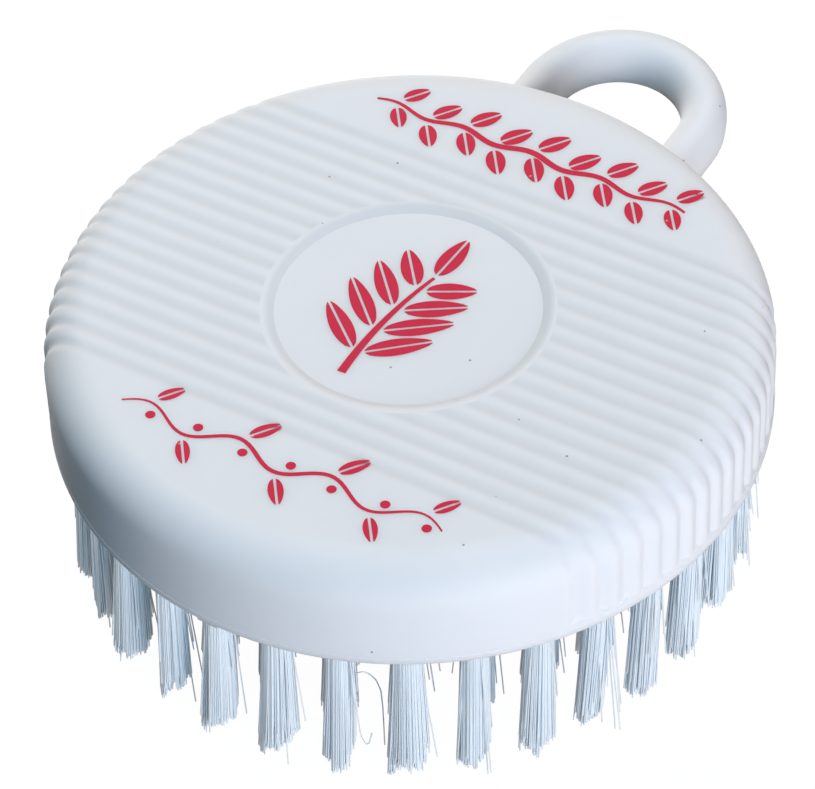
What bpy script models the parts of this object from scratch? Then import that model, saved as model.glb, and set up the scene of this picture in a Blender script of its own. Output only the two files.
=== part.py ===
"""Mushroom brush: a round ribbed block with a hanging loop, and bristle tufts in its underside.

The brush stands on its trimmed bristle tips at z = 0, with the axis of the block on Z. The hanging
loop points along +Y, and the gripping ribs run along X.
"""

import math
import random

import bmesh
import bpy
from mathutils import Matrix, Vector

# Driving dimensions, in metres
BLOCK_RADIUS = 0.0290
BLOCK_HEIGHT = 0.0095
BRISTLE_LENGTH = 0.0155
CLEARANCE = 0.0003
CUT_OVERRUN = 0.0010

# Outer surface of the block
EDGE_ROUNDING = 0.0036
LIP_HEIGHT = 0.0006
LIP_STEP = 0.00007
RIB_BAND_WIDTH = 0.0330
RIB_COUNT = 17
RIB_DEPTH = 0.00028
RIB_TOP_SHARE = 0.35
RIB_FOOT_HEIGHT = 0.0011
RIB_FOOT_ROUNDING = 0.0010

# Round recess in the middle of the top
MEDALLION_RADIUS = 0.0106
MEDALLION_DEPTH = 0.00032
MEDALLION_SLOPE_WIDTH = 0.0009

# Hanging loop
LOOP_REACH = 0.0153
LOOP_HOLE_WIDTH = 0.0108
LOOP_LEG_WIDTH = 0.0038
LOOP_END_WIDTH = 0.0042
LOOP_HEIGHT = 0.0038
LOOP_SIDE_HEIGHT = 0.0010
LOOP_LIFT = 0.0002
LOOP_BEND_DEPTH = 0.0077
LOOP_ROOT_DEPTH = 0.0022

# Stub that the moulding gate leaves under the rim
GATE_WIDTH = 0.0018
GATE_DEPTH = 0.0006
GATE_DROP = 0.0004
GATE_INSET = 0.0002
GATE_TURN = math.radians(-2.8)

# Bristle tufts
TUFT_RADIUS = 0.0013
TUFT_PITCH = 0.0053
TUFT_RING_SPACING = 0.0054
TUFT_EDGE_MARGIN = 0.0027
TUFT_HOLE_DEPTH = 0.0050
TUFT_TURN = math.radians(-60.6)
TUFT_FLARE = 0.0003
TUFT_LEAN = 0.0004
TUFT_LEAN_TURN = math.radians(212)
TUFT_SWAY = 0.0002
TRIM_DEPTH = 0.0005
STRAND_GAP = 0.00016
INNER_STRAND_RADIUS = 0.00042
INNER_STRAND_ROOT = 0.0006
SLICE_MARGIN = 0.0004
SLICE_THICKNESS = 0.0015

# Fineness of the curved surfaces, as counts
RIB_STEPS = 4
RIB_FOOT_STEPS = 2
END_STEPS = 10
ROUNDING_STEPS = 6
MEDALLION_SIDES = 72
LOOP_STEPS = 14
LOOP_SECTION_STEPS = 8
HOLE_SIDES = 8
STRANDS_OUTER = 6
STRANDS_INNER = 4
STRAND_SIDES = 3
SLICE_SIDES_PER_TUFT = 2

SMOOTH_ANGLE = math.radians(32)
SEED = 17

# Places that follow from the sizes above
RIM_Z = BRISTLE_LENGTH
TOP_Z = RIM_Z + BLOCK_HEIGHT
WALL_RADIUS = BLOCK_RADIUS - LIP_STEP
FLAT_RADIUS = WALL_RADIUS - EDGE_ROUNDING
RIB_PITCH = RIB_BAND_WIDTH / (RIB_COUNT + 1)
BAND_HALF = RIB_BAND_WIDTH / 2
OUTER_RING_RADIUS = BLOCK_RADIUS - TUFT_EDGE_MARGIN


def clear_scene():
    """Remove every object that the scene starts with."""
    for obj in list(bpy.data.objects):
        bpy.data.objects.remove(obj, do_unlink=True)


def make_material(name, colour, roughness, metallic, transmission):
    """A Principled material of one plain colour."""
    material = bpy.data.materials.new(name)
    material.use_nodes = True
    shader = material.node_tree.nodes["Principled BSDF"]
    shader.inputs["Base Color"].default_value = (*colour, 1)
    shader.inputs["Roughness"].default_value = roughness
    shader.inputs["Metallic"].default_value = metallic
    shader.inputs["Transmission Weight"].default_value = transmission
    material.diffuse_color = (*colour, 1)
    return material


def object_from_bmesh(name, bm, material, parent):
    """Turn a bmesh into a smooth-shaded object under the parent."""
    bmesh.ops.recalc_face_normals(bm, faces=bm.faces)
    mesh = bpy.data.meshes.new(name)
    bm.to_mesh(mesh)
    bm.free()
    mesh.shade_smooth()
    mesh.set_sharp_from_angle(angle=SMOOTH_ANGLE)
    obj = bpy.data.objects.new(name, mesh)
    bpy.context.scene.collection.objects.link(obj)
    obj.parent = parent
    if material:
        mesh.materials.append(material)
    return obj


def helper_from_bmesh(name, bm, parent):
    """An object that only cuts or adds to another, so it stays out of the model."""
    helper = object_from_bmesh(name, bm, None, parent)
    helper.hide_render = True
    helper.display_type = "WIRE"
    return helper


def add_boolean(obj, other, operation):
    """Cut the other object from obj, or join it on, with a Boolean modifier."""
    modifier = obj.modifiers.new(other.name, "BOOLEAN")
    modifier.operation = operation
    modifier.solver = "EXACT"
    modifier.object = other


def add_rings(bm, rings):
    """Join closed rings of points with quads, and return the rings as bmesh vertices."""
    made = [[bm.verts.new(point) for point in ring] for ring in rings]
    for low, high in zip(made, made[1:]):
        count = len(low)
        for i in range(count):
            j = (i + 1) % count
            bm.faces.new((low[i], low[j], high[j], high[i]))
    return made


def add_capped_rings(bm, rings):
    """A solid from closed rings of points, with a flat face on its first and last ring."""
    made = add_rings(bm, rings)
    bm.faces.new(reversed(made[0]))
    bm.faces.new(made[-1])
    return made


def circle_points(radius, height, sides, centre=(0, 0), turn=0):
    """Points of a level circle round a centre."""
    return [
        Vector(
            (
                centre[0] + radius * math.cos(turn + math.tau * i / sides),
                centre[1] + radius * math.sin(turn + math.tau * i / sides),
                height,
            )
        )
        for i in range(sides)
    ]


def groove_depth(y):
    """Depth of the ribbed surface below the crests at this y: convex ribs, sharp valleys."""
    if abs(y) >= BAND_HALF:
        return 0
    half = RIB_PITCH / 2
    arc_radius = (half**2 + RIB_DEPTH**2) / (2 * RIB_DEPTH)
    from_crest = abs(y - RIB_PITCH * round(y / RIB_PITCH))
    return arc_radius - math.sqrt(arc_radius**2 - from_crest**2)


def block_levels():
    """Levels of the outer surface, bottom to top: (radius, height, slope of its normal, groove share)."""
    levels = [
        (BLOCK_RADIUS, RIM_Z, 0, 0),
        (BLOCK_RADIUS, RIM_Z + LIP_HEIGHT, 0, 0),
        (WALL_RADIUS, RIM_Z + LIP_HEIGHT + LIP_STEP, 0, 0),
    ]
    for step in range(RIB_FOOT_STEPS + 1):
        turn = math.pi / 2 * step / RIB_FOOT_STEPS
        height = RIM_Z + RIB_FOOT_HEIGHT + RIB_FOOT_ROUNDING * (1 - math.cos(turn))
        levels.append((WALL_RADIUS, height, 0, math.sin(turn)))
    for step in range(ROUNDING_STEPS + 1):
        turn = math.pi / 2 * step / ROUNDING_STEPS
        radius = FLAT_RADIUS + EDGE_ROUNDING * math.cos(turn)
        height = TOP_Z - EDGE_ROUNDING * (1 - math.sin(turn))
        groove_share = 1 - (1 - RIB_TOP_SHARE) * math.sin(turn)
        levels.append((radius, height, turn, groove_share))
    return levels


def block_ring(radius, height, slope, groove_share):
    """One level of the outer surface. Its columns keep their y across the ribbed band."""
    rib_steps = (RIB_COUNT + 1) * RIB_STEPS
    right = []
    for step in range(rib_steps + 1):
        y = RIB_BAND_WIDTH * step / rib_steps - BAND_HALF
        depth = groove_share * groove_depth(y)
        local_radius = radius - depth * math.cos(slope)
        x = math.sqrt(local_radius**2 - y**2)
        right.append(Vector((x, y, height - depth * math.sin(slope))))
    corner = math.asin(BAND_HALF / radius)
    end = []
    for step in range(1, 2 * END_STEPS):
        angle = corner + (math.pi - 2 * corner) * step / (2 * END_STEPS)
        end.append(Vector((radius * math.cos(angle), radius * math.sin(angle), height)))
    turned = Matrix.Rotation(math.pi, 3, "Z")
    half_ring = right + end
    return half_ring + [turned @ point for point in half_ring]


def make_block_surface():
    """Closed outer shape of the block: lip, ribbed wall, rounded edge and ribbed top."""
    bm = bmesh.new()
    rings = add_rings(bm, [block_ring(*level) for level in block_levels()])
    bm.faces.new(reversed(rings[0]))
    top = rings[-1]
    rib_steps = (RIB_COUNT + 1) * RIB_STEPS
    half_count = len(top) // 2
    right = top[: rib_steps + 1]
    left = top[half_count : half_count + rib_steps + 1][::-1]
    for i in range(rib_steps):
        bm.faces.new((right[i], right[i + 1], left[i + 1], left[i]))
    bm.faces.new(top[rib_steps : half_count + 1])
    bm.faces.new(top[half_count + rib_steps :] + [top[0]])
    return bm


def loop_stations():
    """Places along the loop: (x, y, outward normal x, outward normal y, section half-width)."""
    leg_x = (LOOP_HOLE_WIDTH + LOOP_LEG_WIDTH) / 2
    leg_half = LOOP_LEG_WIDTH / 2
    bend_y = BLOCK_RADIUS + LOOP_REACH - LOOP_END_WIDTH / 2 - LOOP_BEND_DEPTH
    outer_x = leg_x + leg_half
    root_y = math.sqrt(BLOCK_RADIUS**2 - outer_x**2) - LOOP_ROOT_DEPTH
    stations = [(leg_x, root_y, 1, 0, leg_half)]
    for step in range(LOOP_STEPS + 1):
        turn = math.pi * step / LOOP_STEPS
        normal = Vector((math.cos(turn) / leg_x, math.sin(turn) / LOOP_BEND_DEPTH)).normalized()
        widening = math.sin(turn) ** 2
        half = leg_half + (LOOP_END_WIDTH / 2 - leg_half) * widening
        x = leg_x * math.cos(turn)
        y = bend_y + LOOP_BEND_DEPTH * math.sin(turn)
        stations.append((x, y, normal.x, normal.y, half))
    stations.append((-leg_x, root_y, -1, 0, leg_half))
    return stations


def loop_section():
    """Section of the loop as (share of the half-width, height): flat below, domed above."""
    dome = LOOP_HEIGHT - LOOP_SIDE_HEIGHT
    points = [(1, 0)]
    for step in range(LOOP_SECTION_STEPS + 1):
        turn = math.pi * step / LOOP_SECTION_STEPS
        points.append((math.cos(turn), LOOP_SIDE_HEIGHT + dome * math.sin(turn)))
    points.append((-1, 0))
    return points


def make_loop():
    """The hanging loop, swept along two legs and a bend, with its ends inside the wall."""
    bm = bmesh.new()
    rings = []
    for x, y, normal_x, normal_y, half in loop_stations():
        ring = []
        for share, height in loop_section():
            out = share * half
            ring.append(Vector((x + normal_x * out, y + normal_y * out, RIM_Z + LOOP_LIFT + height)))
        rings.append(ring)
    add_capped_rings(bm, rings)
    return bm


def make_medallion_cutter():
    """A shallow dish with a sloped wall, cut into the middle of the top."""
    bm = bmesh.new()
    slope = MEDALLION_SLOPE_WIDTH / MEDALLION_DEPTH
    top_radius = MEDALLION_RADIUS + MEDALLION_SLOPE_WIDTH + slope * CUT_OVERRUN
    add_capped_rings(
        bm,
        [
            circle_points(MEDALLION_RADIUS, TOP_Z - MEDALLION_DEPTH, MEDALLION_SIDES),
            circle_points(top_radius, TOP_Z + CUT_OVERRUN, MEDALLION_SIDES),
        ],
    )
    return bm


def make_gate_stub():
    """The small stub left under the rim, opposite the loop."""
    bm = bmesh.new()
    outer_y = -(WALL_RADIUS - GATE_INSET)
    low = RIM_Z - GATE_DROP
    high = RIM_Z + LIP_HEIGHT
    rings = []
    for z in (low, high):
        rings.append(
            [
                Vector((-GATE_WIDTH / 2, outer_y, z)),
                Vector((GATE_WIDTH / 2, outer_y, z)),
                Vector((GATE_WIDTH / 2, outer_y + GATE_DEPTH, z)),
                Vector((-GATE_WIDTH / 2, outer_y + GATE_DEPTH, z)),
            ]
        )
    add_capped_rings(bm, rings)
    bmesh.ops.rotate(bm, verts=bm.verts, cent=(0, 0, 0), matrix=Matrix.Rotation(GATE_TURN, 3, "Z"))
    return bm


def tuft_count(ring_radius):
    """How many tufts at the tuft pitch stand on a ring, as an even number."""
    return 2 * max(1, round(math.pi * ring_radius / TUFT_PITCH))


def inner_ring_radii():
    """Radii of the tuft rings inside the outer one. The last is the ring round the centre tuft."""
    radii = []
    radius = OUTER_RING_RADIUS - TUFT_RING_SPACING
    while radius > TUFT_RING_SPACING / 2:
        radii.append(radius)
        radius -= TUFT_RING_SPACING
    return radii


def tuft_places(ring_radius):
    """Centres of the tufts of a ring. The first tufts of all rings stand on one radius."""
    count = tuft_count(ring_radius)
    places = []
    for i in range(count):
        angle = TUFT_TURN + math.tau * i / count
        places.append(Vector((ring_radius * math.cos(angle), ring_radius * math.sin(angle), 0)))
    return places


def make_hole_cutter():
    """Blind holes for the tufts of the outer ring."""
    bm = bmesh.new()
    hole_radius = (TUFT_RADIUS + CLEARANCE) / math.cos(math.pi / HOLE_SIDES)
    for place in tuft_places(OUTER_RING_RADIUS):
        turn = math.atan2(place.y, place.x)
        rings = [
            circle_points(hole_radius, RIM_Z - CUT_OVERRUN, HOLE_SIDES, place, turn),
            circle_points(hole_radius, RIM_Z + TUFT_HOLE_DEPTH, HOLE_SIDES, place, turn),
        ]
        add_capped_rings(bm, rings)
    return bm


def add_band(bm, radius, half_width, low, high, sides):
    """A level ring of rectangular section, or a disc where the section reaches the axis."""
    outer = radius + half_width
    inner = radius - half_width
    if inner <= 0:
        add_capped_rings(bm, [circle_points(outer, low, sides), circle_points(outer, high, sides)])
        return
    rings = [
        circle_points(outer, low, sides),
        circle_points(outer, high, sides),
        circle_points(inner, high, sides),
        circle_points(inner, low, sides),
    ]
    made = add_rings(bm, rings)
    for i in range(sides):
        j = (i + 1) % sides
        bm.faces.new((made[3][i], made[3][j], made[0][j], made[0][i]))


def slice_band(ring_radius, is_core):
    """Middle radius, half-width and side count of the slice under a ring of tufts; the core's is a disc."""
    half_width = TUFT_RADIUS + SLICE_MARGIN
    sides = SLICE_SIDES_PER_TUFT * tuft_count(ring_radius)
    if is_core:
        return 0, ring_radius + half_width, 2 * sides
    return ring_radius, half_width, sides


def make_channel_cutter():
    """Shallow channels in the underside that take the slices of the inner rings."""
    bm = bmesh.new()
    radii = inner_ring_radii()
    for ring_radius in radii:
        middle, half_width, sides = slice_band(ring_radius, ring_radius == radii[-1])
        high = RIM_Z + SLICE_THICKNESS + CLEARANCE
        add_band(bm, middle, half_width + CLEARANCE, RIM_Z - CUT_OVERRUN, high, sides)
    return bm


def make_block(parent):
    """The moulded block: ribbed body, loop, medallion recess, gate stub and tuft seats."""
    white_plastic = make_material("white_plastic", (0.78, 0.82, 0.86), 0.32, 0, 0)
    block = object_from_bmesh("block", make_block_surface(), white_plastic, parent)
    add_boolean(block, helper_from_bmesh("hanging_loop_shape", make_loop(), parent), "UNION")
    add_boolean(block, helper_from_bmesh("gate_stub_shape", make_gate_stub(), parent), "UNION")
    add_boolean(block, helper_from_bmesh("medallion_cut", make_medallion_cutter(), parent), "DIFFERENCE")
    add_boolean(block, helper_from_bmesh("tuft_hole_cut", make_hole_cutter(), parent), "DIFFERENCE")
    add_boolean(block, helper_from_bmesh("slice_channel_cut", make_channel_cutter(), parent), "DIFFERENCE")


def strand_end(rng):
    """Height at which a strand ends: at least half of them reach the trimmed plane."""
    return max(0, rng.uniform(-TRIM_DEPTH, TRIM_DEPTH))


def sideways(rng, reach):
    """A level step of random direction, no longer than the reach."""
    angle = rng.uniform(0, math.tau)
    length = rng.uniform(0, reach)
    return Vector((length * math.cos(angle), length * math.sin(angle), 0))


def common_lean():
    """The level step that all tufts are brushed to one side at their tips."""
    return Vector((TUFT_LEAN * math.cos(TUFT_LEAN_TURN), TUFT_LEAN * math.sin(TUFT_LEAN_TURN), 0))


def make_outer_tuft(place, rng):
    """One tuft: a packed root that fills its hole, and strands drawn down from its lower end."""
    bm = bmesh.new()
    turn = math.atan2(place.y, place.x)
    root_top = RIM_Z + TUFT_HOLE_DEPTH - CLEARANCE
    rings = add_rings(
        bm,
        [
            circle_points(TUFT_RADIUS, RIM_Z, STRANDS_OUTER, turn=turn),
            circle_points(TUFT_RADIUS, root_top, STRANDS_OUTER, turn=turn),
        ],
    )
    bm.faces.new(rings[1])
    hub = bm.verts.new((0, 0, RIM_Z))
    sectors = []
    for i in range(STRANDS_OUTER):
        j = (i + 1) % STRANDS_OUTER
        sectors.append(bm.faces.new((rings[0][j], rings[0][i], hub)))
    bmesh.ops.inset_individual(bm, faces=sectors, thickness=STRAND_GAP / 2)
    lean = common_lean() + sideways(rng, TUFT_SWAY)
    for sector in sectors:
        centre = sector.calc_center_median()
        spread = Vector((centre.x, centre.y, 0)).normalized() * TUFT_FLARE
        end = strand_end(rng)
        bend = (lean + spread) / 3
        half_drop = Vector((0, 0, -RIM_Z / 2))
        last_drop = Vector((0, 0, end - RIM_Z / 2))
        face = sector
        for step in (bend + half_drop, 2 * bend + last_drop):
            face = bmesh.ops.extrude_discrete_faces(bm, faces=[face])["faces"][0]
            bmesh.ops.translate(bm, verts=face.verts, vec=step)
    return bm


def add_inner_strand(bm, root, tip, end, turn):
    """One straight strand, from its root inside the slice to its cut end."""
    rings = [
        circle_points(INNER_STRAND_RADIUS, end, STRAND_SIDES, tip, turn),
        circle_points(INNER_STRAND_RADIUS, RIM_Z + INNER_STRAND_ROOT, STRAND_SIDES, root, turn),
    ]
    add_capped_rings(bm, rings)


def add_inner_tuft(bm, place, rng):
    """The strands of one inner tuft, spread a little towards their tips."""
    turn = rng.uniform(0, math.tau)
    spread = TUFT_RADIUS - INNER_STRAND_RADIUS
    lean = common_lean() + sideways(rng, TUFT_SWAY)
    for i in range(STRANDS_INNER):
        angle = turn + math.tau * i / STRANDS_INNER
        out = Vector((math.cos(angle), math.sin(angle), 0))
        root = place + out * spread
        tip = root + out * TUFT_FLARE + lean
        add_inner_strand(bm, root, tip, strand_end(rng), angle)


def add_centre_tuft(bm, rng):
    """The middle tuft has one more strand, which ends on the axis, at the plane that the brush stands on."""
    root = -common_lean()
    add_inner_tuft(bm, root, rng)
    add_inner_strand(bm, root, Vector((0, 0, 0)), 0, 0)


def make_outer_ring(parent, nylon, rng):
    """The tufts round the rim, each its own piece in its own hole."""
    for i, place in enumerate(tuft_places(OUTER_RING_RADIUS)):
        tuft = object_from_bmesh(f"tuft_{i + 1:02d}", make_outer_tuft(place, rng), nylon, parent)
        tuft.location = place


def make_inner_rings(parent, nylon, rng):
    """The rings of tufts inside, each fused to the slice of the underside that carries it."""
    radii = inner_ring_radii()
    for number, ring_radius in enumerate(radii, start=2):
        is_core = ring_radius == radii[-1]
        name = "tuft_core" if is_core else f"tuft_ring_{number}"
        middle, half_width, sides = slice_band(ring_radius, is_core)
        slice_bm = bmesh.new()
        add_band(slice_bm, middle, half_width, RIM_Z, RIM_Z + SLICE_THICKNESS, sides)
        ring = object_from_bmesh(name, slice_bm, nylon, parent)
        strands = bmesh.new()
        for place in tuft_places(ring_radius):
            add_inner_tuft(strands, place, rng)
        if is_core:
            add_centre_tuft(strands, rng)
        add_boolean(ring, helper_from_bmesh(f"{name}_strands", strands, parent), "UNION")


def main():
    """Build the whole brush under one empty."""
    clear_scene()
    brush = bpy.data.objects.new("mushroom_brush", None)
    bpy.context.scene.collection.objects.link(brush)
    rng = random.Random(SEED)
    nylon = make_material("nylon_bristle", (0.66, 0.73, 0.79), 0.4, 0, 0.3)
    make_block(brush)
    make_outer_ring(brush, nylon, rng)
    make_inner_rings(brush, nylon, rng)


main()
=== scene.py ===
"""Mushroom brush: the finished look of a ribbed white brush block, its hanging loop and its bristle tufts.

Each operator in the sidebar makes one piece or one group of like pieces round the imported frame, and
main() calls them in order. Lengths are in metres, in the frame's own axes: the brush stands on its
bristle tips at z = 0, the loop points along +Y and the gripping ribs run along X.
"""

from math import asin, atan2, cos, hypot, pi, radians, sin, sqrt, tan, tau

import bmesh
import bpy
import numpy as np
from bpy.props import FloatProperty, FloatVectorProperty, IntProperty, PointerProperty
from mathutils import Matrix, Vector


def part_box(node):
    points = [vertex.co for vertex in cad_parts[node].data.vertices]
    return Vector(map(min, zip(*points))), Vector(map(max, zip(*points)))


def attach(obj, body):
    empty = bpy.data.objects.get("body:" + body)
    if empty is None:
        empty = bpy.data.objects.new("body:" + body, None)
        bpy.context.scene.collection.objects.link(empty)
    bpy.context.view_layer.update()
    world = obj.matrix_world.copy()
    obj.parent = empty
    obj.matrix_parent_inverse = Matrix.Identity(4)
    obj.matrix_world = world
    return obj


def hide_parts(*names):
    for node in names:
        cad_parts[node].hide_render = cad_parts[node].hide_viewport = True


bl_info = {
    "name": "Mushroom Brush",
    "version": (1, 0, 0),
    "blender": (4, 5, 0),
    "location": "3D View > Sidebar > Brush",
    "description": "Builds a ribbed mushroom brush with bristle tufts round its packed frame",
    "category": "Object",
}

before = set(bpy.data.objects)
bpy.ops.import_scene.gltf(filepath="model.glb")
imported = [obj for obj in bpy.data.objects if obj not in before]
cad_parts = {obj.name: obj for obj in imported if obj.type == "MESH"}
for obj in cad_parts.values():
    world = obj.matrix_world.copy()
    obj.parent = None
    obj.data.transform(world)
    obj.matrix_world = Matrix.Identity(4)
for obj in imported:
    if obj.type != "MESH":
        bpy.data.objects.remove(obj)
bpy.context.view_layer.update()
BODY = "root"

# Places read from the frame
BLOCK_LOW, BLOCK_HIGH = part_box("block")
SLICE_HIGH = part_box("tuft_ring_2")[1]
SLICE_THICKNESS = 0.0015
BLOCK_RADIUS = BLOCK_HIGH.x
LOOP_REACH = BLOCK_HIGH.y - BLOCK_RADIUS
TOP_Z = BLOCK_HIGH.z
RIM_Z = SLICE_HIGH.z - SLICE_THICKNESS

# Gate stub under the rim, opposite the loop
GATE_WIDTH = 0.0018
GATE_DEPTH = 0.0006
GATE_HEIGHT = 0.0006
GATE_INSET = 0.0002
GATE_TURN = radians(-2.8)

# Fineness of the curved surfaces, as counts
RIM_STEPS = 2
RIB_STEPS = 10
RIB_FOOT_STEPS = 5
END_STEPS = 30
ROUNDING_STEPS = 14
LOOP_STEPS = 48
LOOP_SECTION_STEPS = 22
MEDALLION_SIDES = 160
MEDALLION_SLOPE_STEPS = 5
TOP_COLUMNS = 120
HOLE_SIDES = 20
FILAMENT_SIDES = 5
FILAMENT_STEPS = 6
CURL_STEPS = 6
INK_STEPS = 14
GARLAND_STEPS = 72

# Power of the wave between two ribs. A higher one makes a narrower valley.
WALL_VALLEY_SHARPNESS = 1.15
TOP_VALLEY_SHARPNESS = 1.9

# Corners: of the lip, inward and up, as shares of its step, and of the loop's lower edges
LIP_CORNER = (0.3, 0.4)
LOOP_CORNER = 0.3
SHARP_ANGLE = radians(14)

# Numbers of the Mix node's two colour inputs
COLOUR_A, COLOUR_B = 6, 7

# Plain values of the finishes, by the shader's own sockets
SCATTERING = (0.9, 0.95, 1.0)
PLASTIC_FINISH = {"Subsurface Weight": 0.6, "Subsurface Radius": SCATTERING, "Subsurface Scale": 0.0015}
INK_FINISH = {"Roughness": 0.42, "Specular IOR Level": 0.05}
NYLON_FINISH = {
    "Roughness": 0.45,
    "IOR": 2.2,
    "Specular IOR Level": 1,
    "Subsurface Weight": 0.15,
    "Subsurface Radius": SCATTERING,
    "Subsurface Scale": 0.0006,
}
ROUGHNESS_SPREAD = 0.05
DUST_SHADE = 0.45

# How far the ink fades in a pinhole, and the brightness of what shows through
PINHOLE_FADE = 0.35
BARE_SHADE = 0.75

# Where the painted shade at a tuft's root begins, as a share of the rim's height. It darkens the filaments
# near the block.
ROOT_PAINTED_SHADE_START = 0.7

# Unevenness of the tufts. A pair is the range from which a factor is drawn.
CLUMPS = 13
SPOT_LOOSENESS = 0.3
LEAN_RANGE = (0.6, 1.4)
FLARE_RANGE = (0.3, 1.7)
CUT_RANGE = (0.4, 1.4)
TIP_SCATTER = 0.4
CUT_TAIL = 0.45
BEND_POWER = 1.2
STRAY_BAND = 0.8
STRAY_TURN = 0.35
STRAY_START = (0, 0.6)
STRAY_LENGTH = (0.45, 1)
STRAY_REACH = (0.35, 1)
NORMAL_LEAN = 0.25

# A level direction, from which a filament's sides are found
LEVEL = np.array([1.0, 0.0, 0.0])

# Two filaments curl out of one tuft, left of the front. They stand under its node, as rows of points
# in tenths of a millimetre.
CURL_UNITS_PER_METRE = 10000
CURL_SHADE = 0.1
CURL_BLUR = 0.6
CURLS = {
    "tuft_32": (
        (
            (79, -238, 86), (82, -234, 91), (87, -231, 93), (91, -228, 91), (96, -225, 83),
            (99, -223, 69), (100, -223, 48), (100, -223, 27), (100, -223, 2),
        ),
        (
            (86, -244, 83), (88, -242, 63), (89, -242, 43), (90, -241, 26), (93, -239, 17),
            (95, -238, 18), (97, -236, 30),
        ),
    ),
}

# Pairs of leaves on the sprig: place along its stem, and length as a share of the sprig's
SPRIG_LEAVES = ((0.18, 0.31), (0.40, 0.32), (0.62, 0.29), (0.84, 0.23))

# Garlands: side of the top, waves, berries or none, then sway, stem, leaf length and leaf width as
# shares of its length
GARLANDS = {
    "printed_garland_loop_side": (1, 4.5, False, (0.012, 0.020, 0.098, 0.050)),
    "printed_garland_far_side": (-1, 3.5, True, (0.030, 0.013, 0.092, 0.036)),
}

# Soft lights: name, turn from the camera's right and elevation in degrees, power in watts, colour
LIGHT_SIZE = 0.52
LIGHT_DISTANCE = 1.2
LIGHTS = (
    ("key_light", -60, 10, 13.0, (1.0, 0.862, 0.818)),
    ("side_light", -75, 22, 6.6, (0.35, 0.70, 1.0)),
    ("back_light", 90, 35, 6.1, (1.0, 0.845, 0.774)),
    ("top_light", 120, 50, 8.7, (0.895, 0.971, 1.0)),
)

# The floor and the world as they light the brush, and the glow in which they are seen
FLOOR_HALF_WIDTH = 1.5
PAPER_COLOUR = (0.05, 0.053, 0.056)
WORLD_COLOUR = (0.80, 0.88, 1)
WORLD_STRENGTH = 0.01
WHITE = (1, 1, 1)
STAGE_GLOW = 0.98

SENSOR_WIDTH = 36
CLIP_START = 0.01
CLIP_END = 10


def setting(kind, **limits):
    """A maker of settings of one kind, each with its name, description and default."""

    def make(name, description, default, **own_limits):
        return kind(name=name, description=description, default=default, **{**limits, **own_limits})

    return make


in_metres = setting(FloatProperty, unit="LENGTH")
in_radians = setting(FloatProperty, subtype="ANGLE")
as_share = setting(FloatProperty, min=0, max=1, subtype="FACTOR")
as_count = setting(IntProperty, min=1)
as_colour = setting(FloatVectorProperty, subtype="COLOR")


class BlockSettings(bpy.types.PropertyGroup):
    """Sizes, finish and painted shade of the moulded block"""

    edge_rounding: in_metres("Edge rounding", "Radius between the wall and the top", 0.0036)
    lip_height: in_metres("Lip height", "Height of the plain lip under the wall", 0.0006)
    lip_step: in_metres("Lip step", "Step from the wall out to the lip", 0.00004)
    rim_softening: in_metres("Rim softening", "Radius of the bottom edge", 0.00012)
    rib_count: as_count("Ribs", "Gripping ribs across the block", 17)
    rib_band: in_metres("Ribbed band", "Width of the ribbed middle of the block", 0.0330)
    rib_shift: in_metres("Rib shift", "Shift of the ribbed band along Y", -0.00046)
    rib_depth: in_metres("Rib depth", "Depth of the valleys between ribs", 0.00028)
    rib_top_share: as_share("Rib share on top", "Share of the rib depth left on the flat top", 0.35)
    rib_fade: in_metres("Rib fade", "Distance over which the ribs level off at the recess", 0.0003)
    # Painted shade: the colour is darkened along the rib valleys on the top.
    valley_painted_shade: as_share("Valley shade", "Brightness left in the rib valleys on the top", 0.895)
    rib_foot_height: in_metres("Rib foot", "Height above the rim at which the ribs begin", 0.0011)
    rib_foot_rounding: in_metres("Rib foot rounding", "Height over which the ribs rise", 0.0006)
    plastic_colour: as_colour("Plastic", "Colour of the moulded plastic", (0.832, 0.855, 0.878))
    # Painted shade: the colour is darkened on the recess wall.
    recess_painted_shade: as_share("Recess shade", "Brightness left on the recess wall", 0.86)
    plastic_roughness: as_share("Plastic roughness", "Mean roughness of the plastic", 0.5)
    plastic_specular: as_share("Plastic specular", "Specular level of the plastic", 0.06)


class MedallionSettings(bpy.types.PropertyGroup):
    """Sizes of the round recess in the top"""

    radius: in_metres("Floor radius", "Radius of the flat floor of the recess", 0.0106)
    depth: in_metres("Depth", "Depth of the recess", 0.00032)
    foot_slope: in_radians("Foot slope", "Slope of the recess wall at the floor", radians(24))
    brow_slope: in_radians("Brow slope", "Slope of the recess wall at the top", radians(12))
    # These two move the painted shade on the recess wall off centre, so that it is darkest on one side.
    painted_shade_offset: in_metres("Shade shift", "How far the recess's dull shade is shifted", 0.0002)
    painted_shade_side: in_radians("Shade heading", "Side of the recess that is dullest, from +X", radians(107))


class LoopSettings(bpy.types.PropertyGroup):
    """Sizes of the hanging loop"""

    hole_width: in_metres("Hole width", "Width of the hole between the legs", 0.0108)
    leg_width: in_metres("Leg width", "Width of each leg", 0.0038)
    end_width: in_metres("End width", "Width of the loop at its far end", 0.0042)
    height: in_metres("Height", "Height of the loop's section", 0.0038)
    side_height: in_metres("Side height", "Height of the section's straight side", 0.0010)
    lift: in_metres("Lift", "Height of the loop above the rim", 0.0002)
    bend_depth: in_metres("Bend depth", "Length of the rounded end along the loop", 0.0077)
    root_depth: in_metres("Root depth", "How far the legs reach into the block", 0.0022)
    edge_softening: in_metres("Edge softening", "Radius of the loop's lower edges", 0.00025)


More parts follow.
